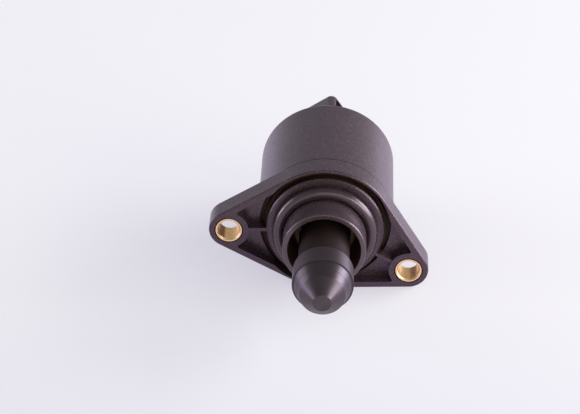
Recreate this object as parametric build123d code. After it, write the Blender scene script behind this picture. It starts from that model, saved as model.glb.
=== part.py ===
from build123d import *
import os
from math import acos, atan2, cos, degrees, hypot, radians, sin

# Idle air control valve: a two-coil stepper motor in a moulded case moves a pintle
# out of a flanged nose. All sizes are millimetres.
# Working frame: the valve's axis is +Z towards the pintle's tip, Z = 0 is the flange's
# mating face, X runs along the line of the two mounting holes.

# Mounting flange
hole_spacing = 47.5
hole_drop = 6.3
lug_radius = 5.1
plate_thickness = 6.0
rim_wall = 1.7
pocket_depth = 3.2
pocket_round = 0.5
rib_thickness = 0.9
rib_drop = 0.3
ring_setback = 2.5
groove_width = 1.85
groove_depth = 4.2
ring_chamfer = 0.35
flange_edge_round = 0.4

# Mounting bushes, for M5 screws
screw_hole = 5.5
bush_wall = 0.6
bush_chamfer = 0.3
bush_relief = 0.3
bush_relief_depth = 0.9

# Nose tube and its seal
spigot_radius = 10.6
nose_wall = 1.4
nose_length = 10.0
nose_bore_depth = 8.5
nose_lead = 0.35
nose_bore_round = 0.25
nose_recess = 5.5
guide_wall = 0.9
seal_cord = 3.0
seal_groove = 0.2

# Case behind the flange
case_wall = 1.9
rear_wall = 2.0
case_edge_round = 0.8
seam_chamfer = 0.2
skirt_wall = 1.5
core_depth = 3.4

# Plug socket on the back of the case
socket_angle = 47.0
socket_width = 21.6
socket_height = 7.6
socket_depth = 12.0
socket_reach = 9.5
socket_wall = 1.5
socket_lip = 0.9
socket_back = 2.8
socket_corner = 0.8
shroud_round = 1.8
shroud_edge_round = 0.5
latch_width = 6.0
latch_length = 3.5
latch_height = 1.2
latch_setback = 2.5

# Terminal blades
pin_count = 4
pin_pitch = 5.0
pin_width = 2.4
pin_thickness = 0.8
pin_reach = 6.0
pin_tail = 1.0
pin_point = 0.6
pin_wall = 0.15

# Pintle
stem_radius = 6.45
stem_bore = 4.6
head_radius = 7.65
head_start = 20.0
head_length = 5.8
shoulder_length = 0.7
head_step = 0.35
taper_length = 4.5
taper_bands = 2
band_step = 0.05
cone_radius = 5.65
cone_length = 3.65
tip_radius = 2.3
tip_round = 0.25
head_wall = 3.0
key_width = 2.0
key_height = 0.75
travel_in = 8.0

# Lead screw and nut
screw_radius = 2.5
screw_hold = 6.0
nut_wall = 0.9
nut_length = 8.0

# Ball bearing
bearing_bore = 9.0
bearing_od = 17.0
bearing_width = 5.0
bearing_setback = 3.8
ring_wall = 1.2
ball_diameter = 2.4
ball_count = 8
cage_thickness = 0.6
cage_width = 3.4
boss_wall = 2.0
retainer_thickness = 0.6
retainer_lip = 0.9

# Rotor
magnet_radius = 8.2
hub_wall = 1.1
hub_shoulder = 1.4
hub_front = 0.2
journal_radius = 3.0
relief_radius = 2.9

# Rear bearing
bush_ring_wall = 2.0
rear_bush_length = 2.2
bush_floor = 1.1
washer_thickness = 0.3
bush_boss_wall = 1.6

# Stator
stack_length = 7.9
stator_sheet = 0.8
stator_shoulder = 1.7
shoulder_width = 2.0
pole_pairs = 6
pole_tip_width = 2.2
pole_root_width = 3.6
bobbin_wall = 0.6
bobbin_gap = 0.9
coil_thickness = 3.44
coil_fill_gap = 0.4

# Clearances
air_gap = 0.4
run_fit = 0.05
slide_fit = 0.15
ball_fit = 0.1
seat_fit = 0.02
end_gap = 0.2

# Stations along the axis, from the mating face backwards
plate_rear = -plate_thickness
core_top = plate_rear + core_depth
bearing_front = plate_rear - bearing_setback
bearing_rear = bearing_front - bearing_width
bearing_mid = (bearing_front + bearing_rear) / 2
retainer_rear = bearing_rear - retainer_thickness
stator_front = retainer_rear - seat_fit
stator_mid = stator_front - stack_length
stator_rear = stator_mid - stack_length
case_floor = stator_rear - stator_shoulder
case_rear = case_floor - rear_wall
nose_floor = nose_length - nose_bore_depth

# Radii of the motor, from the screw outwards to the case
nut_radius = screw_radius + run_fit + nut_wall
magnet_bore = nut_radius + hub_wall + 2 * seat_fit
pole_radius = magnet_radius + air_gap
pole_back = pole_radius + stator_sheet
bobbin_core = pole_back + seat_fit
coil_inner = bobbin_core + bobbin_wall + seat_fit
coil_outer = coil_inner + coil_thickness
bobbin_rim = coil_outer + coil_fill_gap
stator_radius = bobbin_rim + bobbin_gap + stator_sheet
case_bore = stator_radius + seat_fit
body_radius = case_bore + case_wall

# Radii that several pieces share
nose_bore = spigot_radius - nose_wall
seal_seat = spigot_radius - seal_groove
ring_radius = body_radius - ring_setback
groove_radius = ring_radius + groove_width
bearing_bore_radius = bearing_bore / 2
bearing_radius = bearing_od / 2
ball_pitch_radius = (bearing_bore_radius + bearing_radius) / 2
ball_radius = ball_diameter / 2
boss_radius = bearing_radius + boss_wall
bush_radius = screw_hole / 2 + bush_wall
guide_radius = stem_radius + slide_fit
rear_bush_radius = journal_radius + run_fit + bush_ring_wall
bush_boss_radius = rear_bush_radius + bush_boss_wall
pin_leg = -(rear_bush_radius + pin_wall + pin_thickness / 2)

# Rotor and screw stations
hub_nose = bearing_front - hub_front
magnet_front = bearing_rear - hub_shoulder
magnet_rear = stator_rear + stator_sheet
bush_rear = case_rear + bush_floor
bush_front = bush_rear + rear_bush_length
relief_end = magnet_rear + end_gap
nut_front = hub_nose - end_gap
nut_rear = nut_front - nut_length
screw_tail = relief_end + travel_in + end_gap
stem_rear = hub_nose + travel_in + 4 * end_gap
key_slot_front = nose_floor + travel_in + 4 * end_gap

# Pintle stations
head_front = head_start + head_length
cone_start = head_front + taper_length
tip_front = cone_start + cone_length
stem_bore_end = head_start - head_wall
screw_front = stem_bore_end + screw_hold

# Roll that lays the right lug's lower edge level with the bottom of the body
hole_reach = hypot(hole_spacing / 2, hole_drop)
lug_angle = degrees(atan2(hole_spacing / 2, hole_drop))
edge_angle = degrees(acos((body_radius - lug_radius) / hole_reach))
roll = radians(edge_angle - lug_angle)
resting_plane = Plane(origin=(0, 0, 0), x_dir=(cos(roll), 0, sin(roll)), z_dir=(0, -1, 0))
hole_places = [(-hole_spacing / 2, -hole_drop), (hole_spacing / 2, -hole_drop)]


def turned(points):
    """Solid of revolution about the axis from (radius, station) corners."""
    return revolve(Plane.XZ * make_face(Polyline(*points, close=True)), Axis.Z)


def tube(outer, inner, front, rear):
    """Plain ring between two stations."""
    return turned([(inner, rear), (outer, rear), (outer, front), (inner, front)])


def disc(radius, front, rear):
    """Plain round bar between two stations."""
    return Pos(0, 0, rear) * extrude(Circle(radius), front - rear)


def rim_edge(solid, radius, station):
    """The round edge of a solid with this radius, at this station."""
    circles = solid.edges().filter_by(GeomType.CIRCLE)
    level = circles.filter_by_position(Axis.Z, station - seat_fit, station + seat_fit)
    return level.filter_by(lambda edge: abs(edge.radius - radius) < seat_fit)


def flange_outline():
    """Body circle and the two lugs in one tight outline."""
    circles = Sketch() + Circle(body_radius)
    circles += [Pos(x, y) * Circle(lug_radius) for x, y in hole_places]
    return make_hull(circles.edges())


def flange_pockets(outline):
    """Open area of the front face, between rim, lug bosses and ring."""
    area = offset(outline, -rim_wall) - Circle(ring_radius)
    return area - [Pos(x, y) * Circle(lug_radius) for x, y in hole_places]


def flange_rib(place):
    """Straight rib from the sealing ring across the groove to one lug."""
    x, y = place
    inner = ring_radius - end_gap
    outer = hole_reach - lug_radius + end_gap
    bottom = -groove_depth - end_gap
    bar = Box(outer - inner, rib_thickness, -rib_drop - bottom)
    bar = Pos((inner + outer) / 2, 0, (bottom - rib_drop) / 2) * bar
    return Rot(0, 0, degrees(atan2(y, x))) * bar


def front_flange():
    """Flange, sealing ring, nose tube, pintle guide and bearing boss in one moulding."""
    outline = flange_outline()
    plate = Pos(0, 0, plate_rear) * extrude(outline, plate_thickness)
    plate = fillet(plate.faces().sort_by(Axis.Z)[-1].outer_wire().edges(), flange_edge_round)
    pockets = extrude(flange_pockets(outline), -pocket_depth)
    pockets = fillet(pockets.edges().filter_by(Axis.Z), pocket_round)
    plate -= pockets
    plate -= turned([
        (ring_radius - ring_chamfer, end_gap),
        (ring_radius - ring_chamfer, 0),
        (ring_radius, -ring_chamfer),
        (ring_radius, -groove_depth),
        (groove_radius, -groove_depth),
        (groove_radius, end_gap),
    ])
    plate += [flange_rib(place) for place in hole_places]
    nose = disc(spigot_radius, nose_floor, -end_gap)
    nose += tube(spigot_radius, nose_bore, nose_length, nose_floor)
    nose = fillet(rim_edge(nose, spigot_radius, nose_length), nose_lead)
    nose = fillet(rim_edge(nose, nose_bore, nose_length), nose_bore_round)
    nose -= tube(spigot_radius + seat_fit, seal_seat, seal_cord + slide_fit, 0)
    skirt = tube(case_bore - seat_fit, case_bore - seat_fit - skirt_wall, core_top, stator_front + seat_fit)
    boss = disc(boss_radius, core_top, bearing_rear)
    body = plate + nose
    body -= tube(case_bore - skirt_wall, boss_radius, core_top, plate_rear - end_gap)
    body += skirt
    body += boss
    body -= tube(nose_bore, guide_radius + guide_wall, nose_floor + end_gap, nose_floor - nose_recess)
    body -= disc(guide_radius, nose_length, bearing_rear - end_gap)
    body -= disc(bearing_radius + seat_fit, bearing_front, bearing_rear - end_gap)
    for x, y in hole_places:
        seat = turned([
            (0, plate_rear - end_gap),
            (bush_radius + seat_fit, plate_rear - end_gap),
            (bush_radius + seat_fit, -bush_relief_depth),
            (bush_radius + bush_relief, -bush_relief_depth),
            (bush_radius + bush_relief, end_gap),
            (0, end_gap),
        ])
        body -= Pos(x, y) * seat
    return body + guide_keys()


def guide_keys():
    """Two ribs in the guide bore that stop the pintle from turning."""
    key_bottom = stem_radius - key_height
    bar = Box(2 * guide_radius, key_width, nose_floor - bearing_front)
    bar = Pos(0, 0, (nose_floor + bearing_front) / 2) * bar
    bar &= disc(guide_radius + seat_fit, nose_floor, bearing_front)
    return bar - disc(key_bottom, nose_floor + end_gap, bearing_front - end_gap)


def mounting_bush(place):
    """Rolled brass sleeve with both ends chamfered."""
    bore = screw_hole / 2
    sleeve = turned([
        (bore + bush_chamfer, 0),
        (bush_radius, 0),
        (bush_radius, plate_rear),
        (bore + bush_chamfer, plate_rear),
        (bore, plate_rear + bush_chamfer),
        (bore, -bush_chamfer),
    ])
    return Pos(*place) * sleeve


def nose_o_ring():
    """Round-section seal at the root of the nose tube."""
    cord_radius = seal_cord / 2
    centre = seal_seat + cord_radius + seat_fit
    section = Pos(centre, cord_radius + seat_fit) * Circle(cord_radius)
    return revolve(Plane.XZ * section, Axis.Z)


def socket_frame():
    """Plane at the axis whose X points out of the socket and whose Z is the valve's axis."""
    return Plane.XY.rotated((0, 0, socket_angle))


def socket_shroud(rear):
    """Outer block of the socket, on the back of the case and rounded at its corners."""
    back = pin_leg - socket_back
    width = socket_width + 2 * socket_wall
    front = case_rear + case_edge_round
    section = Pos((back + socket_reach) / 2, 0) * RectangleRounded(socket_reach - back, width, shroud_round)
    block = Pos(0, 0, rear) * extrude(section, front - rear)
    block = fillet(block.faces().sort_by(Axis.Z)[0].edges(), shroud_edge_round)
    return socket_frame() * block


def socket_cavity(near, far):
    """Rounded hollow that takes the plug, between two stations along the axis."""
    floor_reach = socket_reach - socket_depth
    section = RectangleRounded(socket_width, near - far, socket_corner)
    mouth = Plane(origin=(floor_reach, 0, (near + far) / 2), x_dir=(0, 1, 0), z_dir=(1, 0, 0))
    return socket_frame() * extrude(mouth * section, socket_depth + end_gap)


def rear_housing():
    """Moulded can with rear bush boss, stator step, plug socket and latch nib."""
    can = turned([
        (0, case_rear),
        (body_radius, case_rear),
        (body_radius, plate_rear - seam_chamfer),
        (body_radius - seam_chamfer, plate_rear),
        (case_bore, plate_rear),
        (case_bore, stator_rear),
        (case_bore - shoulder_width, stator_rear),
        (case_bore - shoulder_width, case_floor),
        (0, case_floor),
    ])
    can = fillet(can.edges().filter_by(GeomType.CIRCLE).sort_by(Axis.Z)[0], case_edge_round)
    can += disc(bush_boss_radius, bush_front, case_floor)
    can -= disc(rear_bush_radius + seat_fit, bush_front + end_gap, bush_rear)
    near = case_rear - socket_wall
    far = near - socket_height
    shroud_rear = far - socket_lip
    latch_end = socket_reach - latch_setback
    latch_profile = make_face(Polyline(
        (latch_end, shroud_rear),
        (latch_end - latch_length, shroud_rear),
        (latch_end - latch_length, shroud_rear - latch_height),
        close=True,
    ))
    latch = extrude(Plane.XZ * latch_profile, latch_width / 2, both=True)
    body = can + socket_shroud(shroud_rear) - socket_cavity(near, far)
    return body + socket_frame() * latch - terminal_pins()


def terminal_pins():
    """Bent blades from inside the case into the socket."""
    floor_reach = socket_reach - socket_depth
    middle = case_rear - socket_wall - socket_height / 2
    tail = case_floor + pin_tail
    half = pin_thickness / 2
    tip = floor_reach + pin_reach
    profile = make_face(Polyline(
        (pin_leg - half, tail),
        (pin_leg + half, tail),
        (pin_leg + half, middle + half),
        (tip - pin_point, middle + half),
        (tip, middle + half / 2),
        (tip, middle - half / 2),
        (tip - pin_point, middle - half),
        (pin_leg - half, middle - half),
        close=True,
    ))
    blade = extrude(Plane.XZ * profile, pin_width / 2, both=True)
    first = -pin_pitch * (pin_count - 1) / 2
    return Part() + [socket_frame() * Pos(0, first + i * pin_pitch, 0) * blade for i in range(pin_count)]


def taper_corners():
    """Corners of the stepped taper, from the cone back to the head."""
    taper_top = head_radius - head_step
    band_length = taper_length / taper_bands
    band_drop = (taper_top - cone_radius - (taper_bands - 1) * band_step) / taper_bands
    corners = []
    for i in reversed(range(taper_bands)):
        start = taper_top - i * (band_drop + band_step)
        corners.append((start - band_drop, head_front + (i + 1) * band_length))
        corners.append((start, head_front + i * band_length))
    return corners


def pintle():
    """Valve head with a stepped taper and a flat-ended cone, on a hollow keyed stem."""
    body = turned([
        (head_radius, head_front),
        (head_radius, head_start),
        (stem_radius, head_start - shoulder_length),
        (stem_radius, stem_rear),
        (stem_bore, stem_rear),
        (stem_bore, stem_bore_end),
        (screw_radius, stem_bore_end),
        (screw_radius, screw_front),
        (0, screw_front),
        (0, tip_front),
        (tip_radius, tip_front),
        *taper_corners(),
    ])
    body = fillet(rim_edge(body, tip_radius, tip_front), tip_round)
    slot_depth = key_height + slide_fit
    slot_length = key_slot_front - stem_rear
    slot = Box(2 * slot_depth, key_width + 2 * slide_fit, slot_length)
    slot_mid = (key_slot_front + stem_rear) / 2
    for side in (-1, 1):
        body -= Pos(side * stem_radius, 0, slot_mid) * slot
    return body


def lead_screw():
    """Screw fixed in the pintle's head, with a pointed lead at its tail."""
    lead = screw_radius / 4
    return turned([
        (0, screw_tail),
        (screw_radius - lead, screw_tail),
        (screw_radius, screw_tail + lead),
        (screw_radius, screw_front),
        (0, screw_front),
    ])


def lead_nut():
    """Brass nut in the front of the rotor."""
    return tube(nut_radius, screw_radius + run_fit, nut_front, nut_rear)


def rotor_hub():
    """Rotor sleeve: front journal, shoulder, magnet seat and rear journal."""
    bore = nut_radius + seat_fit
    seat = magnet_bore - seat_fit
    journal_end = bush_rear + end_gap
    return turned([
        (bore, hub_nose),
        (bearing_bore_radius - seat_fit, hub_nose),
        (bearing_bore_radius - seat_fit, bearing_rear),
        (bearing_bore_radius + ring_wall / 2, bearing_rear),
        (bearing_bore_radius + ring_wall / 2, magnet_front),
        (seat, magnet_front),
        (seat, magnet_rear - end_gap),
        (journal_radius, magnet_rear - end_gap),
        (journal_radius, journal_end),
        (0, journal_end),
        (0, relief_end),
        (relief_radius, relief_end),
        (relief_radius, nut_rear),
        (bore, nut_rear),
    ])


def rotor_magnet():
    """Ring magnet on the rotor."""
    return tube(magnet_radius, magnet_bore, magnet_front, magnet_rear)


def bearing_rings():
    """Inner and outer ball bearing rings with their raceways."""
    race = revolve(Plane.XZ * Pos(ball_pitch_radius, bearing_mid) * Circle(ball_radius + ball_fit), Axis.Z)
    inner = tube(bearing_bore_radius + ring_wall, bearing_bore_radius, bearing_front, bearing_rear)
    outer = tube(bearing_radius, bearing_radius - ring_wall, bearing_front, bearing_rear)
    return inner - race, outer - race


def ball_places():
    """Places of the balls round the bearing."""
    return [Pos(0, 0, bearing_mid) * place for place in PolarLocations(ball_pitch_radius, ball_count)]


def bearing_balls():
    """Loose balls of the bearing."""
    return Part() + [place * Sphere(ball_radius) for place in ball_places()]


def bearing_cage():
    """Ring with a pocket for each ball."""
    half = cage_thickness / 2
    mid_front = bearing_mid + cage_width / 2
    mid_rear = bearing_mid - cage_width / 2
    cage = tube(ball_pitch_radius + half, ball_pitch_radius - half, mid_front, mid_rear)
    window = Rot(0, 90, 0) * Cylinder(ball_radius + ball_fit, 2 * cage_thickness)
    return cage - [place * window for place in ball_places()]


def bearing_retainer():
    """Steel washer that holds the bearing in its boss."""
    return tube(boss_radius, bearing_radius - retainer_lip, bearing_rear, retainer_rear)


def rear_bush():
    """Plain rear bearing in the case's floor."""
    return tube(rear_bush_radius, journal_radius + run_fit, bush_front, bush_rear)


def spring_washer():
    """Cone washer between the rear bush and the rotor."""
    inner = journal_radius + slide_fit
    outer = magnet_bore - seat_fit
    top = magnet_rear - end_gap - run_fit
    return turned([
        (inner, top - washer_thickness),
        (outer, bush_front),
        (outer, bush_front + washer_thickness),
        (inner, top),
    ])


def claw_poles(root, tip, turn):
    """Tapered pole fingers round the rotor, from a plate at one station towards another."""
    finger = make_face(Polyline(
        (-pole_root_width / 2, root),
        (pole_root_width / 2, root),
        (pole_tip_width / 2, tip),
        (-pole_tip_width / 2, tip),
        close=True,
    ))
    blade = extrude(Plane.XZ * finger, -pole_back - seat_fit)
    ring = tube(pole_back, pole_radius, max(root, tip), min(root, tip))
    blade &= ring
    step = 360 / pole_pairs
    return [Rot(0, 0, turn + i * step) * blade for i in range(pole_pairs)]


def stator_cup(face, inner_face, turn):
    """Deep-drawn steel cup with a ring of pole fingers."""
    inward = stator_sheet if inner_face > face else -stator_sheet
    plate_inside = face + inward
    wall = tube(stator_radius, stator_radius - stator_sheet, max(face, inner_face), min(face, inner_face))
    plate = tube(stator_radius, pole_radius, max(face, plate_inside), min(face, plate_inside))
    finger_tip = inner_face - 2 * inward
    return wall + plate + claw_poles(face, finger_tip, turn)


def pole_plate(face, far_face, turn):
    """Flat plate inside the cup with the facing ring of pole fingers."""
    inward = stator_sheet if far_face > face else -stator_sheet
    outer = stator_radius - stator_sheet - seat_fit
    plate = tube(outer, pole_radius, max(face, face + inward), min(face, face + inward))
    return plate + claw_poles(face, far_face - 2 * inward, turn)


def bobbin(front, rear):
    """Moulded spool between the plates."""
    return turned([
        (bobbin_core, front),
        (bobbin_rim, front),
        (bobbin_rim, front - bobbin_wall),
        (bobbin_core + bobbin_wall, front - bobbin_wall),
        (bobbin_core + bobbin_wall, rear + bobbin_wall),
        (bobbin_rim, rear + bobbin_wall),
        (bobbin_rim, rear),
        (bobbin_core, rear),
    ])


def coil(front, rear):
    """Copper winding that fills the spool."""
    inset = bobbin_wall + seat_fit
    return tube(coil_outer, coil_inner, front - inset, rear + inset)


half_pole = 180 / pole_pairs
front_room = (stator_front - stator_sheet - seat_fit, stator_mid + stator_sheet + seat_fit)
rear_room = (stator_mid - stator_sheet - seat_fit, stator_rear + stator_sheet + seat_fit)
inner_ring, outer_ring = bearing_rings()

pieces = {
    "front_flange": front_flange(),
    "rear_housing": rear_housing(),
    "left_mounting_bush": mounting_bush(hole_places[0]),
    "right_mounting_bush": mounting_bush(hole_places[1]),
    "nose_o_ring": nose_o_ring(),
    "pintle": pintle(),
    "lead_screw": lead_screw(),
    "lead_nut": lead_nut(),
    "rotor_hub": rotor_hub(),
    "rotor_magnet": rotor_magnet(),
    "bearing_inner_ring": inner_ring,
    "bearing_outer_ring": outer_ring,
    "bearing_balls": bearing_balls(),
    "bearing_cage": bearing_cage(),
    "bearing_retainer": bearing_retainer(),
    "rear_bush": rear_bush(),
    "spring_washer": spring_washer(),
    "front_stator_cup": stator_cup(stator_front, stator_mid, 0),
    "front_pole_plate": pole_plate(stator_mid, stator_front, half_pole),
    "rear_stator_cup": stator_cup(stator_rear, stator_mid, half_pole / 2),
    "rear_pole_plate": pole_plate(stator_mid, stator_rear, 3 * half_pole / 2),
    "front_bobbin": bobbin(*front_room),
    "rear_bobbin": bobbin(*rear_room),
    "front_coil": coil(*front_room),
    "rear_coil": coil(*rear_room),
    "terminal_pins": terminal_pins(),
}

os.makedirs("parts", exist_ok=True)
for name, piece in pieces.items():
    export_step(resting_plane.location * piece, os.path.join("parts", name + ".step"))
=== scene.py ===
"""Looks of an idle air control valve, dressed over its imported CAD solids.

The CAD frame stays where it is. Each sub-assembly below gives its own pieces their
meshes and finishes, and the studio adds floor, light and the photograph's camera.
"""
import logging
import math
from dataclasses import dataclass, field
from enum import Enum

import bpy
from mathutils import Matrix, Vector


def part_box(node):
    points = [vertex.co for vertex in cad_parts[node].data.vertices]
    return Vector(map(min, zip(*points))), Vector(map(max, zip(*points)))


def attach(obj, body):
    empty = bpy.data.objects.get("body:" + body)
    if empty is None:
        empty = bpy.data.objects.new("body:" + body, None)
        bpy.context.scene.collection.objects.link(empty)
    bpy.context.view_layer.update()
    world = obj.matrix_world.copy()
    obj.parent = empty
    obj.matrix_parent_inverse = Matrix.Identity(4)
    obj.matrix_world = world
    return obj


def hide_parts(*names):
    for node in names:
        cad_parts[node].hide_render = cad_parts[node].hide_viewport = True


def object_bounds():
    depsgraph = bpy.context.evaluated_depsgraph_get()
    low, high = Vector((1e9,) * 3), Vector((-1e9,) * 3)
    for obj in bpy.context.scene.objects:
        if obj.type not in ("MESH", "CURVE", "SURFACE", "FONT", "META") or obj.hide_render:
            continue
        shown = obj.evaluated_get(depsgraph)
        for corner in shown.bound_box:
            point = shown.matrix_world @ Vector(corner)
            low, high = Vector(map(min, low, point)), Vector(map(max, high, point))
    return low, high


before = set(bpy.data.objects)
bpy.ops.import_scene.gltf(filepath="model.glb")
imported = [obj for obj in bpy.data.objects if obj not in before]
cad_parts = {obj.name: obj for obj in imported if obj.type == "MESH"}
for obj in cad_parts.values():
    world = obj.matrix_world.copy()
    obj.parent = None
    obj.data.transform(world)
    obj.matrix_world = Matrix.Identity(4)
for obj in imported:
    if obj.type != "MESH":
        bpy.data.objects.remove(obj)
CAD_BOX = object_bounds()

LOG = logging.getLogger("idle_air_valve")
MM = 0.001
BUSHES = ("left_mounting_bush", "right_mounting_bush")

# Sockets of a mix node that has colours: its first and second colour and its result.
FIRST_COLOUR = 6
SECOND_COLOUR = 7
MIXED_COLOUR = 2
# Nearly all of a noise texture's values lie in this range.
NOISE_RANGE = (0.25, 0.75)
# A speck starts to show at the first value of its noise and is full at the second.
SPECK_RANGE = (0.62, 0.74)
PATCH_OCTAVES = 3.0
GRAIN_OCTAVES = 2.0
SATIN_OCTAVES = 1.0
SHEEN_ROUGHNESS = 0.4
# Turns a drawn-out highlight from running round the axis to running along it.
QUARTER_TURN = 0.25
# How many times as long as wide a cut mark is.
CUT_LENGTH = 12


class Body(str, Enum):
    """CAD bodies that the added pieces ride on."""

    HOUSING = "housing"
    PLUNGER = "plunger"


class Pattern(Enum):
    """How a finish's fine relief is laid over its surface."""

    SPARKED = "sparked"
    SATIN = "satin"
    TURNED = "turned"
    GROUND = "ground"


def linear(hex_colour: str) -> tuple[float, float, float, float]:
    """Turn an sRGB hex colour into the linear values that shaders use.

    Args:
        hex_colour: colour as six hex digits, with or without a leading #.

    Returns:
        Linear red, green, blue and an alpha of 1.
    """
    digits = hex_colour.lstrip("#")
    parts = []
    # The numbers are those of the sRGB standard.
    for start in (0, 2, 4):
        value = int(digits[start:start + 2], 16) / 255
        low = value <= 0.04045
        parts.append(value / 12.92 if low else ((value + 0.055) / 1.055) ** 2.4)
    return (parts[0], parts[1], parts[2], 1.0)


def add_node(
    tree: bpy.types.NodeTree,
    kind: str,
    settings: dict | None = None,
    links: dict | None = None,
) -> bpy.types.Node:
    """Add one node to a tree, with its settings and its incoming links.

    Args:
        tree: shader or geometry node tree that takes the node.
        kind: Blender's type name of the node.
        settings: values by name, for the node's own property or else its input socket.
        links: output sockets by the name or index of the input that each one feeds.

    Returns:
        The new node.
    """
    node = tree.nodes.new(kind)
    for name, value in (settings or {}).items():
        if isinstance(name, str) and hasattr(node, name):
            setattr(node, name, value)
        else:
            node.inputs[name].default_value = value
    for name, source in (links or {}).items():
        tree.links.new(source, node.inputs[name])
    return node


@dataclass(frozen=True)
class Finish:
    """Surface of one real material, as its maker left it.

    Colours are sRGB hex values and lengths are millimetres.
    """

    name: str
    colour: str
    shade: str
    roughness: float
    spread: float = 0.06
    metallic: float = 0.0
    ior: float = 1.5
    specular: float = 0.5
    patch_mm: float = 6.0
    grain_mm: float = 0.4
    relief_mm: float = 0.02
    pattern: Pattern = Pattern.SATIN
    tint: str = "#ffffff"
    bloom: float = 0.0
    bloom_colour: str = "#ffffff"
    drawn_out: float = 0.0
    speck_colour: str | None = None
    speck_mm: float = 0.3

    def material(self) -> bpy.types.Material:
        """Build the node material, once for each finish.

        Returns:
            The material of this finish.
        """
        found = bpy.data.materials.get(self.name)
        if found:
            return found
        made = bpy.data.materials.new(self.name)
        made.use_nodes = True
        made.diffuse_color = linear(self.colour)
        tree = made.node_tree
        tree.nodes.clear()
        place = add_node(tree, "ShaderNodeTexCoord").outputs["Object"]
        grain = self.grain(tree, place)
        rough = add_node(
            tree, "ShaderNodeMapRange",
            {
                "From Min": NOISE_RANGE[0],
                "From Max": NOISE_RANGE[1],
                "To Min": self.roughness - self.spread,
                "To Max": self.roughness + self.spread,
            },
            {"Value": grain},
        )
        bump = add_node(
            tree, "ShaderNodeBump",
            {"Strength": 1.0, "Distance": self.relief_mm * MM},
            {"Height": grain},
        )
        links = {
            "Base Color": self.hue(tree, place),
            "Roughness": rough.outputs["Result"],
            "Normal": bump.outputs["Normal"],
        }
        if self.drawn_out:
            tangent = add_node(tree, "ShaderNodeTangent", {"direction_type": "RADIAL", "axis": "Y"})
            links["Tangent"] = tangent.outputs["Tangent"]
        shader = add_node(
            tree, "ShaderNodeBsdfPrincipled",
            {
                "Metallic": self.metallic,
                "IOR": self.ior,
                "Specular IOR Level": self.specular,
                "Specular Tint": linear(self.tint),
                "Sheen Weight": self.bloom,
                "Sheen Roughness": SHEEN_ROUGHNESS,
                "Sheen Tint": linear(self.bloom_colour),
                "Anisotropic": self.drawn_out,
                "Anisotropic Rotation": QUARTER_TURN,
            },
            links,
        )
        add_node(tree, "ShaderNodeOutputMaterial", links={"Surface": shader.outputs["BSDF"]})
        return made

    def hue(self, tree: bpy.types.NodeTree, place: bpy.types.NodeSocket) -> bpy.types.NodeSocket:
        """Add the colour, in faint patches and, where the finish has them, with specks.

        Args:
            tree: the material's node tree.
            place: coordinates in the piece's own frame.

        Returns:
            The surface's colour.
        """
        patches = add_node(
            tree, "ShaderNodeTexNoise",
            {"Scale": 1 / (self.patch_mm * MM), "Detail": PATCH_OCTAVES},
            {"Vector": place},
        )
        colour = add_node(
            tree, "ShaderNodeMix",
            {
                "data_type": "RGBA",
                FIRST_COLOUR: linear(self.colour),
                SECOND_COLOUR: linear(self.shade),
            },
            {"Factor": patches.outputs["Fac"]},
        )
        if self.speck_colour:
            dots = add_node(
                tree, "ShaderNodeTexNoise",
                {"Scale": 1 / (self.speck_mm * MM), "Detail": 0.0},
                {"Vector": place},
            )
            share = add_node(
                tree, "ShaderNodeMapRange",
                {"From Min": SPECK_RANGE[0], "From Max": SPECK_RANGE[1]},
                {"Value": dots.outputs["Fac"]},
            )
            colour = add_node(
                tree, "ShaderNodeMix",
                {"data_type": "RGBA", SECOND_COLOUR: linear(self.speck_colour)},
                {"Factor": share.outputs["Result"], FIRST_COLOUR: colour.outputs[MIXED_COLOUR]},
            )
        return colour.outputs[MIXED_COLOUR]

    def grain(self, tree: bpy.types.NodeTree, place: bpy.types.NodeSocket) -> bpy.types.NodeSocket:
        """Add the fine relief that the making left on the surface.

        Args:
            tree: the material's node tree.
            place: coordinates in the piece's own frame.

        Returns:
            The relief's height, about 0 to 1.
        """
        size = self.grain_mm * MM
        octaves = SATIN_OCTAVES if self.pattern is Pattern.SATIN else GRAIN_OCTAVES
        if self.pattern in (Pattern.TURNED, Pattern.GROUND):
            # A lathe's marks lie close along the valve's axis and run round it. Grinding
            # lines run along the axis.
            along, across = (CUT_LENGTH, 1) if self.pattern is Pattern.TURNED else (1, CUT_LENGTH)
            squeezed = add_node(
                tree, "ShaderNodeMapping", {"Scale": (across, along, across)}, {"Vector": place}
            )
            place = squeezed.outputs["Vector"]
            size *= CUT_LENGTH
        noise = add_node(
            tree, "ShaderNodeTexNoise", {"Scale": 1 / size, "Detail": octaves}, {"Vector": place}
        )
        return noise.outputs["Fac"]


# Glass-filled nylon, moulded in a spark-eroded tool: an even, dry, fine grain with a
# faint bloom that turns lavender at a slant, and pale specks where glass fibres lie at
# the surface. The real grain is about 0.15 mm and is drawn at 0.38 mm so that it shows.
NYLON = Finish(
    "glass_filled_nylon_sparked", "#322728", "#292021", 0.3, 0.06, ior=1.53, specular=0.75,
    patch_mm=9.0, grain_mm=0.38, relief_mm=0.04, pattern=Pattern.SPARKED,
    tint="#ffe0fc", bloom=0.1, bloom_colour="#e4ccff", speck_colour="#5c4e52",
)
# The same nylon from the tool's polished core, which shapes the nose: smooth, with clear
# highlights along the rim.
POLISHED_NYLON = Finish(
    "glass_filled_nylon_polished", "#40363a", "#382e32", 0.26, 0.03, ior=1.53, specular=1.0,
    patch_mm=7.0, grain_mm=1.2, relief_mm=0.002,
    tint="#ffeaf8", bloom=0.04, bloom_colour="#f4deff",
)
# The same nylon inside the nose, painted a lighter brown: painted light that stands
# in for more light reaching into the bore.
BORE_NYLON_PAINTED_LIGHT = Finish(
    "glass_filled_nylon_bore_painted_light", "#604a40", "#503c32", 0.45, 0.08, ior=1.53, specular=0.4,
    patch_mm=2.5, grain_mm=0.5, relief_mm=0.01, tint="#ffe8e0",
)
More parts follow.
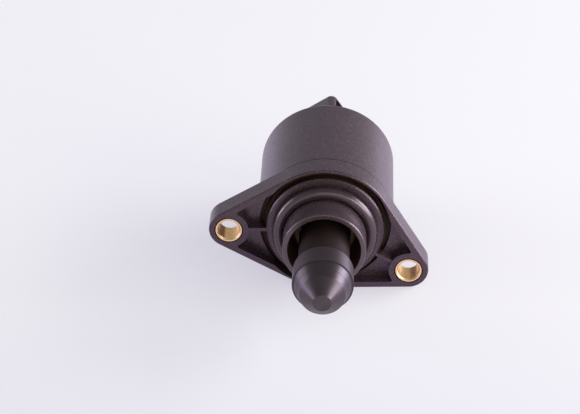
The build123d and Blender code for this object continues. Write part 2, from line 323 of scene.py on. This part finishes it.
# The same nylon in the groove, dull and dark brown: painted shade for the deep groove.
GROOVE_NYLON_PAINTED_SHADE = Finish(
    "glass_filled_nylon_groove_painted_shade", "#382a23", "#2e221c", 0.55, 0.08, ior=1.53, specular=0.2,
    patch_mm=2.5, grain_mm=0.5, relief_mm=0.01, tint="#ffe8e0",
)
# Dull, nearly black painted shade in the seam of the case and in the seats round the
# bushes, where shade falls in the gaps.
GAP_PAINTED_SHADE = Finish(
    "gap_painted_shade", "#16100e", "#0e0a08", 0.8, 0.06, specular=0.05,
    patch_mm=1.5, grain_mm=0.3, relief_mm=0.01, tint="#ffe8e0",
)
# Acetal, moulded in a turned tool: its fine rings draw the soft highlights out along
# the pintle. The real rings are about 0.05 mm apart and are drawn at 0.12 mm.
ACETAL = Finish(
    "black_acetal_moulded", "#1f1719", "#191214", 0.4, 0.05, ior=1.5, specular=1.0,
    patch_mm=5.0, grain_mm=0.12, relief_mm=0.002, pattern=Pattern.TURNED,
    tint="#fceaff", drawn_out=0.6,
)
# The same acetal on the stem, which slides in its guide: dull with wear, and dark as
# painted shade where the stem lies inside the nose.
WORN_ACETAL_AND_PAINTED_SHADE = Finish(
    "black_acetal_worn_and_painted_shade", "#261d1d", "#1e1716", 0.5, 0.06, ior=1.5, specular=0.25,
    patch_mm=3.0, grain_mm=0.12, relief_mm=0.003, pattern=Pattern.TURNED, tint="#ffdcd0",
)
# Nitrile rubber, compression moulded in a polished tool: smooth, with a clear highlight
# and a faint bloom.
NITRILE = Finish(
    "nitrile_rubber_moulded", "#2c2427", "#332a2e", 0.25, 0.03, ior=1.52, specular=0.9,
    patch_mm=4.0, grain_mm=1.5, relief_mm=0.004,
    tint="#ffeaf8", bloom=0.03, bloom_colour="#ffe2ff",
)
# Brass, turned on a bar lathe: pale bright yellow with fine rings from the tool. The real
# rings are about 0.05 mm apart and are drawn at 0.12 mm.
BRASS = Finish(
    "brass_turned", "#ffe2b4", "#f8d4a2", 0.4, 0.06, 1.0,
    patch_mm=1.6, grain_mm=0.12, relief_mm=0.004, pattern=Pattern.TURNED,
)
# The same brass inside the bush, reamed smoother, with a deeper amber as painted shade
# for the dimmer, warmer light inside the bore.
BRASS_BORE_PAINTED_SHADE = Finish(
    "brass_bore_painted_shade", "#ffd9a0", "#f8c27e", 0.3, 0.06, 1.0,
    patch_mm=0.8, grain_mm=0.12, relief_mm=0.004, pattern=Pattern.TURNED,
)
# Bearing steel, ground and polished: hard grey mirror with fine grinding lines.
BEARING_STEEL = Finish(
    "bearing_steel_ground", "#c9cacc", "#b7b9bd", 0.16, 0.05, 1.0,
    patch_mm=3.0, grain_mm=0.1, relief_mm=0.003, pattern=Pattern.GROUND,
)
# Soft steel sheet, deep drawn and zinc plated: cool grey with a cloudy plating.
PLATED_STEEL = Finish(
    "zinc_plated_steel_drawn", "#b9bcc2", "#9fa3ab", 0.34, 0.08, 1.0,
    patch_mm=2.2, grain_mm=0.3, relief_mm=0.006,
)
# Natural polyester, moulded: ivory, slightly waxy.
IVORY_PBT = Finish(
    "natural_pbt_moulded", "#ddd8c9", "#d2ccba", 0.45, 0.06,
    patch_mm=5.0, grain_mm=0.5, relief_mm=0.008,
)
# Strontium ferrite, pressed and ground: dull charcoal grey with a powdery grain.
FERRITE = Finish(
    "strontium_ferrite_ground", "#3c3c40", "#323236", 0.6, 0.08,
    patch_mm=1.5, grain_mm=0.15, relief_mm=0.01, pattern=Pattern.SPARKED,
)
# Sintered bronze, pressed and oiled: brown metal with open pores.
BRONZE = Finish(
    "sintered_bronze_oiled", "#a87f4f", "#7d5b36", 0.42, 0.1, 1.0,
    patch_mm=0.6, grain_mm=0.2, relief_mm=0.02, pattern=Pattern.SPARKED,
)
# Copper wire, drawn and enamelled: deep orange under a clear amber lacquer.
ENAMELLED_COPPER = Finish(
    "enamelled_copper_wire", "#b8622f", "#9c4d22", 0.25, 0.05, 1.0,
    patch_mm=1.2, grain_mm=0.3, relief_mm=0.003,
)
# Brass strip, stamped and tin plated: soft white metal.
TINNED_BRASS = Finish(
    "tinned_brass_stamped", "#d6d4cd", "#c2c0b8", 0.3, 0.07, 1.0,
    patch_mm=1.4, grain_mm=0.25, relief_mm=0.004,
)


def geometry_tree(name: str, sizes: dict[str, float]) -> tuple[bpy.types.NodeTree, bpy.types.Node]:
    """Start a geometry node tree that has one named input for each size.

    Args:
        name: the tree's name.
        sizes: input values by name, in metres or as plain counts.

    Returns:
        The tree and the node that gives its inputs.
    """
    tree = bpy.data.node_groups.new(name, "GeometryNodeTree")
    tree.interface.new_socket("Geometry", in_out="OUTPUT", socket_type="NodeSocketGeometry")
    for label, value in sizes.items():
        kind = "NodeSocketInt" if isinstance(value, int) else "NodeSocketFloat"
        tree.interface.new_socket(label, in_out="INPUT", socket_type=kind)
    return tree, add_node(tree, "NodeGroupInput")


def grow(
    name: str,
    tree: bpy.types.NodeTree,
    shape: bpy.types.NodeSocket,
    sizes: dict[str, float],
    station: float,
    finish: Finish,
) -> bpy.types.Object:
    """Close a geometry node tree, run it once and keep the result as a plain mesh.

    Args:
        name: the piece's name.
        tree: tree that makes the shape round its own Z axis.
        shape: the socket with the finished shape.
        sizes: input values by name.
        station: where the shape's origin lies along the valve's axis, in metres of world Y.
        finish: the piece's surface.

    Returns:
        The piece, at the origin, with its place in its mesh.
    """
    placed = add_node(
        tree, "GeometryNodeTransform",
        {"Translation": (0, station, 0), "Rotation": (math.radians(90), 0, 0)},
        {"Geometry": shape},
    )
    real = add_node(
        tree, "GeometryNodeRealizeInstances", links={"Geometry": placed.outputs["Geometry"]}
    )
    dressed = add_node(
        tree, "GeometryNodeSetMaterial",
        {"Material": finish.material()}, {"Geometry": real.outputs["Geometry"]},
    )
    add_node(tree, "NodeGroupOutput", links={0: dressed.outputs["Geometry"]})
    piece = bpy.data.objects.new(name, bpy.data.meshes.new(name + "_seed"))
    bpy.context.scene.collection.objects.link(piece)
    modifier = piece.modifiers.new(name, "NODES")
    modifier.node_group = tree
    for item in tree.interface.items_tree:
        if item.in_out == "INPUT":
            modifier[item.identifier] = sizes[item.name]
    evaluated = piece.evaluated_get(bpy.context.evaluated_depsgraph_get())
    mesh = bpy.data.meshes.new_from_object(evaluated)
    piece.modifiers.remove(modifier)
    piece.data = mesh
    mesh.shade_smooth()
    LOG.info("grew %s: %d faces", name, len(mesh.polygons))
    return piece


def round_size(node: str) -> tuple[float, float, float]:
    """Measure a round CAD node that lies along the valve's axis.

    Args:
        node: the node's name.

    Returns:
        Its outer radius, its length and the world Y of its middle, in metres.
    """
    low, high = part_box(node)
    return (high.x - low.x) / 2, high.y - low.y, (high.y + low.y) / 2


@dataclass(frozen=True)
class Zone:
    """Round region along the valve's axis, whose faces have a second finish.

    The reach is measured from the valve's axis, or from that of a named node. The depth
    runs back from the mounting face.
    """

    node: str
    finish: Finish
    reach_mm: tuple[float, float] = (0.0, math.inf)
    depth_mm: tuple[float, float] = (-math.inf, math.inf)
    round_node: str | None = None

    def dress(self) -> None:
        """Give the node's faces in this zone the zone's finish."""
        centre = Vector()
        if self.round_node:
            low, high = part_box(self.round_node)
            centre = (low + high) / 2
        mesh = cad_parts[self.node].data
        if self.finish.name not in mesh.materials:
            mesh.materials.append(self.finish.material())
        index = mesh.materials.find(self.finish.name)
        count = 0
        for face in mesh.polygons:
            reach = math.hypot(face.center.x - centre.x, face.center.z - centre.z) / MM
            depth = face.center.y / MM
            in_reach = self.reach_mm[0] <= reach < self.reach_mm[1]
            if in_reach and self.depth_mm[0] < depth < self.depth_mm[1]:
                face.material_index = index
                count += 1
        LOG.info("dressed %d faces of %s with %s", count, self.node, self.finish.name)


@dataclass
class SubAssembly:
    """Common part of the valve's sub-assemblies."""

    finishes: dict[str, Finish] = field(default_factory=dict)
    zones: tuple[Zone, ...] = ()

    def build(self) -> None:
        """Make the pieces that the CAD solids only stand in for."""

    def dress(self) -> None:
        """Give each carried-over CAD node its finish, then each zone its own."""
        for node, finish in self.finishes.items():
            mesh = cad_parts[node].data
            mesh.materials.clear()
            mesh.materials.append(finish.material())
            LOG.info("dressed %s with %s", node, finish.name)
        for zone in self.zones:
            zone.dress()


@dataclass
class Casing(SubAssembly):
    """Flange moulding, rear housing, brass bushes, terminal blades and the nose's seal."""

    flash_height_mm: float = 0.02
    flash_width_mm: float = 0.1
    ring_steps: int = 200
    cord_steps: int = 96
    finishes: dict[str, Finish] = field(default_factory=lambda: {
        "front_flange": NYLON,
        "rear_housing": NYLON,
        "left_mounting_bush": BRASS,
        "right_mounting_bush": BRASS,
        "terminal_pins": TINNED_BRASS,
    })
    # The nose as its core left it, painted light inside it, painted shade in the groove, in
    # the seam and round the bushes, and the bores of the bushes, deepened as painted shade.
    zones: tuple[Zone, ...] = (
        Zone("front_flange", POLISHED_NYLON, reach_mm=(0, 10.8), depth_mm=(-math.inf, 0)),
        Zone("front_flange", BORE_NYLON_PAINTED_LIGHT, reach_mm=(0, 9.35), depth_mm=(-9.6, math.inf)),
        Zone("front_flange", GROOVE_NYLON_PAINTED_SHADE, reach_mm=(14.9, 16.95), depth_mm=(0.6, 4.3)),
        Zone("rear_housing", GAP_PAINTED_SHADE, reach_mm=(17.25, math.inf), depth_mm=(5.95, 6.25)),
        *(
            Zone("front_flange", GAP_PAINTED_SHADE, reach_mm=(0, 3.7), depth_mm=(0.05, 0.95), round_node=bush)
            for bush in BUSHES
        ),
        *(Zone(bush, BRASS_BORE_PAINTED_SHADE, reach_mm=(0, 2.8), round_node=bush) for bush in BUSHES),
    )

    def build(self) -> None:
        """Sweep the O-ring, with the fine flash that its mould left at the parting line."""
        reach, cord, station = round_size("nose_o_ring")
        sizes = {
            "Ring Radius": reach - cord / 2,
            "Cord Radius": cord / 2 - self.flash_height_mm * MM,
            "Flash Height": self.flash_height_mm * MM,
            "Flash Width": self.flash_width_mm * MM,
            "Ring Steps": self.ring_steps,
            "Cord Steps": self.cord_steps,
        }
        tree, given = geometry_tree("swept_seal", sizes)
        path = add_node(
            tree, "GeometryNodeCurvePrimitiveCircle",
            links={"Resolution": given.outputs["Ring Steps"], "Radius": given.outputs["Ring Radius"]},
        )
        section = add_node(
            tree, "GeometryNodeCurvePrimitiveCircle",
            links={"Resolution": given.outputs["Cord Steps"], "Radius": given.outputs["Cord Radius"]},
        )
        swept = add_node(
            tree, "GeometryNodeCurveToMesh",
            links={"Curve": path.outputs["Curve"], "Profile Curve": section.outputs["Curve"]},
        )
        place = add_node(tree, "GeometryNodeInputPosition")
        height = add_node(tree, "ShaderNodeSeparateXYZ", links={0: place.outputs[0]})
        level = add_node(tree, "ShaderNodeMath", {"operation": "ABSOLUTE"}, {0: height.outputs["Z"]})
        rise = add_node(
            tree, "ShaderNodeMapRange", {"To Max": 0.0},
            {
                "Value": level.outputs[0],
                "From Max": given.outputs["Flash Width"],
                "To Min": given.outputs["Flash Height"],
            },
        )
        normal = add_node(tree, "GeometryNodeInputNormal")
        lift = add_node(
            tree, "ShaderNodeVectorMath", {"operation": "SCALE"},
            {0: normal.outputs[0], "Scale": rise.outputs["Result"]},
        )
        moved = add_node(
            tree, "GeometryNodeSetPosition",
            links={"Geometry": swept.outputs["Mesh"], "Offset": lift.outputs[0]},
        )
        seal = grow("moulded_seal", tree, moved.outputs["Geometry"], sizes, station, NITRILE)
        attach(seal, Body.HOUSING.value)
        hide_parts("nose_o_ring")


@dataclass
class Plunger(SubAssembly):
    """Pintle and the lead screw that is fixed in its head."""

    pitch_mm: float = 1.0
    thread_depth_mm: float = 0.45
    tail_lead_mm: float = 0.62
    weld_mm: float = 0.001
    # Half the crest and one flank of the thread, as shares of its pitch.
    half_crest: float = 0.12
    flank_run: float = 0.26
    steps_round: int = 49
    steps_along: int = 443
    # Sums that wind the flat grid into a threaded rod: result, operation and values.
    winding: tuple[tuple[str, str, tuple[str | float, ...]], ...] = (
        ("height", "MULTIPLY", ("along", "Length")),
        ("turns", "DIVIDE", ("height", "Pitch")),
        ("phase", "SUBTRACT", ("turns", "turn")),
        ("ridge", "PINGPONG", ("phase", 0.5)),
        ("past_crest", "SUBTRACT", ("ridge", "Half Crest")),
        ("slope", "DIVIDE", ("past_crest", "Flank Run")),
        ("not_over_crest", "MAXIMUM", ("slope", 0.0)),
        ("flank", "MINIMUM", ("not_over_crest", 1.0)),
        ("cut", "MULTIPLY", ("flank", "Depth")),
        ("thread", "SUBTRACT", ("Radius", "cut")),
        ("point", "ADD", ("Tail Radius", "height")),
        ("profile", "MINIMUM", ("thread", "point")),
        ("past_tail", "GREATER_THAN", ("along", 0.0)),
        ("before_head", "LESS_THAN", ("along", 1.0)),
        ("closed", "MULTIPLY", ("past_tail", "before_head")),
        ("reach", "MULTIPLY", ("profile", "closed")),
        ("angle", "MULTIPLY", ("turn", math.tau)),
        ("cosine", "COSINE", ("angle",)),
        ("sine", "SINE", ("angle",)),
        ("across", "MULTIPLY", ("reach", "cosine")),
        ("aside", "MULTIPLY", ("reach", "sine")),
    )
    finishes: dict[str, Finish] = field(default_factory=lambda: {
        "pintle": ACETAL,
    })
    # The stem behind the head, dull with wear and dark with painted shade.
    zones: tuple[Zone, ...] = (Zone("pintle", WORN_ACETAL_AND_PAINTED_SHADE, depth_mm=(-20.0, math.inf)),)

    def build(self) -> None:
        """Roll a real thread round the lead screw, on a grid that is wound into a rod."""
        radius, length, middle = round_size("lead_screw")
        sizes = {
            "Radius": radius,
            "Length": length,
            "Pitch": self.pitch_mm * MM,
            "Depth": self.thread_depth_mm * MM,
            "Tail Radius": radius - self.tail_lead_mm * MM,
            "Half Crest": self.half_crest,
            "Flank Run": self.flank_run,
            "Steps Round": self.steps_round,
            "Steps Along": self.steps_along,
        }
        tree, given = geometry_tree("rolled_thread", sizes)
        sheet = add_node(
            tree, "GeometryNodeMeshGrid", {"Size X": 1.0, "Size Y": 1.0},
            {
                "Vertices X": given.outputs["Steps Round"],
                "Vertices Y": given.outputs["Steps Along"],
            },
        )
        share = add_node(tree, "ShaderNodeSeparateXYZ", links={0: sheet.outputs["UV Map"]})
        known = {"turn": share.outputs["X"], "along": share.outputs["Y"]}
        known.update({label: given.outputs[label] for label in sizes})
        for name, operation, values in self.winding:
            settings = {"operation": operation}
            links = {}
            for index, value in enumerate(values):
                if isinstance(value, str):
                    links[index] = known[value]
                else:
                    settings[index] = value
            step = add_node(tree, "ShaderNodeMath", settings, links)
            known[name] = step.outputs[0]
        spot = add_node(
            tree, "ShaderNodeCombineXYZ",
            links={"X": known["across"], "Y": known["aside"], "Z": known["height"]},
        )
        wound = add_node(
            tree, "GeometryNodeSetPosition",
            links={"Geometry": sheet.outputs["Mesh"], "Position": spot.outputs[0]},
        )
        joined = add_node(
            tree, "GeometryNodeMergeByDistance",
            {"Distance": self.weld_mm * MM}, {"Geometry": wound.outputs["Geometry"]},
        )
        tail = middle + length / 2
        screw = grow(
            "threaded_lead_screw", tree, joined.outputs["Geometry"], sizes, tail, BEARING_STEEL
        )
        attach(screw, Body.PLUNGER.value)
        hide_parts("lead_screw")


@dataclass
class Rotor(SubAssembly):
    """Rotor sleeve with its magnet and nut, on a ball bearing and a plain bush."""

    finishes: dict[str, Finish] = field(default_factory=lambda: {
        "rotor_hub": IVORY_PBT,
        "rotor_magnet": FERRITE,
        "lead_nut": BRASS,
        "bearing_inner_ring": BEARING_STEEL,
        "bearing_outer_ring": BEARING_STEEL,
        "bearing_balls": BEARING_STEEL,
        "bearing_cage": IVORY_PBT,
        "bearing_retainer": PLATED_STEEL,
        "rear_bush": BRONZE,
        "spring_washer": PLATED_STEEL,
    })


@dataclass
class Stator(SubAssembly):
    """Two steel cups with their pole plates, spools and windings."""

    wire_mm: float = 0.36
    # Bare length at the ends of a layer and space for one turn, in widths of the wire.
    bare_wires: float = 1.2
    turn_wires: float = 1.02
    steps_per_turn: int = 96
    wire_steps: int = 10
    finishes: dict[str, Finish] = field(default_factory=lambda: {
        "front_stator_cup": PLATED_STEEL,
        "front_pole_plate": PLATED_STEEL,
        "rear_stator_cup": PLATED_STEEL,
        "rear_pole_plate": PLATED_STEEL,
        "front_bobbin": IVORY_PBT,
        "rear_bobbin": IVORY_PBT,
        "front_coil": ENAMELLED_COPPER,
        "rear_coil": ENAMELLED_COPPER,
    })

    def build(self) -> None:
        """Wind the last layer of wire on both coils."""
        for coil in ("front_coil", "rear_coil"):
            self.wind(coil)

    def wind(self, coil: str) -> None:
        """Lay one layer of wire side by side round a coil.

        Args:
            coil: the CAD node that the layer lies on.
        """
        reach, length, middle = round_size(coil)
        wire = self.wire_mm * MM
        run = length - self.bare_wires * wire
        sizes = {
            "Layer Radius": reach + wire / 2,
            "Run": run,
            "Turns": run / (self.turn_wires * wire),
            "Wire Radius": wire / 2,
            "Steps Per Turn": self.steps_per_turn,
            "Wire Steps": self.wire_steps,
        }
        tree, given = geometry_tree(coil + "_layer", sizes)
        helix = add_node(
            tree, "GeometryNodeCurveSpiral",
            links={
                "Resolution": given.outputs["Steps Per Turn"],
                "Rotations": given.outputs["Turns"],
                "Start Radius": given.outputs["Layer Radius"],
                "End Radius": given.outputs["Layer Radius"],
                "Height": given.outputs["Run"],
            },
        )
        section = add_node(
            tree, "GeometryNodeCurvePrimitiveCircle",
            links={"Resolution": given.outputs["Wire Steps"], "Radius": given.outputs["Wire Radius"]},
        )
        wound = add_node(
            tree, "GeometryNodeCurveToMesh", {"Fill Caps": True},
            {"Curve": helix.outputs["Curve"], "Profile Curve": section.outputs["Curve"]},
        )
        start = middle + run / 2
        layer = grow(
            coil + "_last_layer", tree, wound.outputs["Mesh"], sizes, start, ENAMELLED_COPPER
        )
        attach(layer, Body.HOUSING.value)


@dataclass(frozen=True)
class Softbox:
    """One evenly bright lamp face that looks at the valve.

    The bearing runs round the vertical from the valve's right-hand side towards its back.
    The radiance of white paper in full light is 1.
    """

    name: str
    bearing_deg: float
    height_deg: float
    sides_mm: tuple[float, float]
    radiance: float
    reach_mm: float = 1000.0
    colour: str = "#fcfaff"

    def build(self) -> None:
        """Stand the lamp in its place, out of the camera's sight."""
        data = bpy.data.lights.new(self.name, "AREA")
        data.shape = "RECTANGLE"
        data.size = self.sides_mm[0] * MM
        data.size_y = self.sides_mm[1] * MM
        data.energy = self.radiance * math.pi * data.size * data.size_y
        data.color = linear(self.colour)[:3]
        lamp = bpy.data.objects.new(self.name, data)
        turn = math.radians(self.bearing_deg)
        rise = math.radians(self.height_deg)
        level = math.cos(rise)
        way = Vector((math.cos(turn) * level, math.sin(turn) * level, math.sin(rise)))
        lamp.location = way * self.reach_mm * MM
        lamp.rotation_mode = "QUATERNION"
        lamp.rotation_quaternion = (-way).to_track_quat("-Z", "Y")
        lamp.visible_camera = False
        bpy.context.scene.collection.objects.link(lamp)


@dataclass
class Studio:
    """Pale floor, soft light and the photograph's camera."""

    camera_place_mm: tuple[float, float, float] = (18.67, -521.06, 320.578)
    camera_turn_deg: tuple[float, float, float] = (58.9798, 1.7694, 1.9432)
    focal_px: float = 2400.0
    frame_px: float = 580.0
    sensor_mm: float = 36.0
    clip_m: tuple[float, float] = (0.01, 50.0)
    floor_reach_mm: float = 6000.0
    card_hues: tuple[str, str] = ("#c5c9bd", "#c9cdc1")
    card_cloud_mm: float = 500.0
    card_octaves: float = 1.0
    card_roughness: float = 0.8
    card_specular: float = 0.2
    # Glow of the floor in front of the valve and behind it, as the camera sees it and as
    # the valve mirrors it, and where the one fades into the other.
    seen_hues: tuple[str, str] = ("#a19db5", "#b0adbe")
    mirrored_hues: tuple[str, str] = ("#aea2a8", "#aea2c6")
    fade_mm: tuple[float, float] = (-60.0, -10.0)
    tent_hue: str = "#faf8fc"
    horizon_level: float = 0.66
    zenith_level: float = 0.23
    zenith_height: float = 0.9
    softboxes: tuple[Softbox, ...] = (
        Softbox("right_strip", 8, 5, (1400, 240), 6.3, colour="#ecdfff"),
        Softbox("right_softbox", 14, 20, (840, 360), 7.8),
        Softbox("front_right_softbox", -38, 13, (660, 520), 5.2, colour="#fff8ec"),
        Softbox("left_strip", 178, 5, (700, 240), 5.6, colour="#ecdfff"),
        Softbox("left_softbox", 172, 20, (840, 360), 2.0),
        Softbox("front_softbox", -80, 28, (700, 400), 1.1, colour="#fff6e6"),
    )

    def build(self) -> None:
        """Make the camera, floor, world and lamps."""
        self.camera()
        self.floor()
        self.world()
        for softbox in self.softboxes:
            softbox.build()

    def camera(self) -> None:
        """Set the camera where the photograph was taken from."""
        data = bpy.data.cameras.new("photo_camera")
        data.sensor_width = self.sensor_mm
        data.lens = self.focal_px / self.frame_px * self.sensor_mm
        data.clip_start, data.clip_end = self.clip_m
        camera = bpy.data.objects.new("photo_camera", data)
        camera.location = Vector(self.camera_place_mm) * MM
        camera.rotation_euler = [math.radians(turn) for turn in self.camera_turn_deg]
        bpy.context.scene.collection.objects.link(camera)
        bpy.context.scene.camera = camera

    def floor(self) -> None:
        """Lay the pale table under the valve's lowest point."""
        reach = self.floor_reach_mm * MM
        height = CAD_BOX[0].z
        mesh = bpy.data.meshes.new("floor")
        corners = [(-reach, -reach), (reach, -reach), (reach, reach), (-reach, reach)]
        mesh.from_pydata([(x, y, height) for x, y in corners], [], [(0, 1, 2, 3)])
        mesh.materials.append(self.floor_material())
        floor = bpy.data.objects.new("floor", mesh)
        bpy.context.scene.collection.objects.link(floor)

    def floor_material(self) -> bpy.types.Material:
        """Plain pale card, a little uneven, that takes the valve's shadow.

        Returns:
            The floor's material.
        """
        made = bpy.data.materials.new("pale_card")
        made.use_nodes = True
        tree = made.node_tree
        tree.nodes.clear()
        place = add_node(tree, "ShaderNodeTexCoord").outputs["Object"]
        cloud = add_node(
            tree, "ShaderNodeTexNoise",
            {"Scale": 1 / (self.card_cloud_mm * MM), "Detail": self.card_octaves},
            {"Vector": place},
        )
        colour = add_node(
            tree, "ShaderNodeMix",
            {
                "data_type": "RGBA",
                FIRST_COLOUR: linear(self.card_hues[0]),
                SECOND_COLOUR: linear(self.card_hues[1]),
            },
            {"Factor": cloud.outputs["Fac"]},
        )
        shader = add_node(
            tree, "ShaderNodeBsdfPrincipled",
            {"Roughness": self.card_roughness, "Specular IOR Level": self.card_specular},
            {"Base Color": colour.outputs[MIXED_COLOUR]},
        )
        # Rays that show the floor see part of it as lit from within, as on a light table,
        # so that the shadow stays pale. What the valve mirrors of it has its own hues.
        path = add_node(tree, "ShaderNodeLightPath")
        seen = path.outputs["Is Camera Ray"]
        for ray in ("Is Glossy Ray", "Is Transmission Ray"):
            either = add_node(
                tree, "ShaderNodeMath", {"operation": "MAXIMUM"}, {0: seen, 1: path.outputs[ray]}
            )
            seen = either.outputs[0]
        depth = add_node(tree, "ShaderNodeSeparateXYZ", links={0: place})
        fade = add_node(
            tree, "ShaderNodeMapRange",
            {"From Min": self.fade_mm[0] * MM, "From Max": self.fade_mm[1] * MM},
            {"Value": depth.outputs["Y"]},
        )
        hues = []
        for front, back in (self.seen_hues, self.mirrored_hues):
            mixed = add_node(
                tree, "ShaderNodeMix",
                {"data_type": "RGBA", FIRST_COLOUR: linear(front), SECOND_COLOUR: linear(back)},
                {"Factor": fade.outputs["Result"]},
            )
            hues.append(mixed.outputs[MIXED_COLOUR])
        hue = add_node(
            tree, "ShaderNodeMix", {"data_type": "RGBA"},
            {
                "Factor": path.outputs["Is Glossy Ray"],
                FIRST_COLOUR: hues[0],
                SECOND_COLOUR: hues[1],
            },
        )
        glow = add_node(
            tree, "ShaderNodeEmission",
            links={"Color": hue.outputs[MIXED_COLOUR], "Strength": seen},
        )
        both = add_node(
            tree, "ShaderNodeAddShader",
            links={0: shader.outputs["BSDF"], 1: glow.outputs["Emission"]},
        )
        add_node(tree, "ShaderNodeOutputMaterial", links={"Surface": both.outputs["Shader"]})
        return made

    def world(self) -> None:
        """Surround the valve with even pale light, as a light tent does."""
        scene = bpy.context.scene
        scene.world = bpy.data.worlds.new("light_tent")
        scene.world.use_nodes = True
        tree = scene.world.node_tree
        tree.nodes.clear()
        way = add_node(tree, "ShaderNodeTexCoord")
        height = add_node(tree, "ShaderNodeSeparateXYZ", links={0: way.outputs["Generated"]})
        level = add_node(
            tree, "ShaderNodeMapRange",
            {
                "From Min": 0.0,
                "From Max": self.zenith_height,
                "To Min": self.horizon_level,
                "To Max": self.zenith_level,
            },
            {"Value": height.outputs["Z"]},
        )
        sky = add_node(
            tree, "ShaderNodeBackground",
            {"Color": linear(self.tent_hue)}, {"Strength": level.outputs["Result"]},
        )
        add_node(tree, "ShaderNodeOutputWorld", links={"Surface": sky.outputs["Background"]})
        scene.view_settings.view_transform = "Standard"


def main() -> None:
    """Build and dress the sub-assemblies in order, then set the studio."""
    logging.basicConfig(level=logging.INFO, format="%(name)s: %(message)s")
    for part in (Casing(), Plunger(), Rotor(), Stator()):
        part.build()
        part.dress()
    Studio().build()


if __name__ == "__main__":
    main()
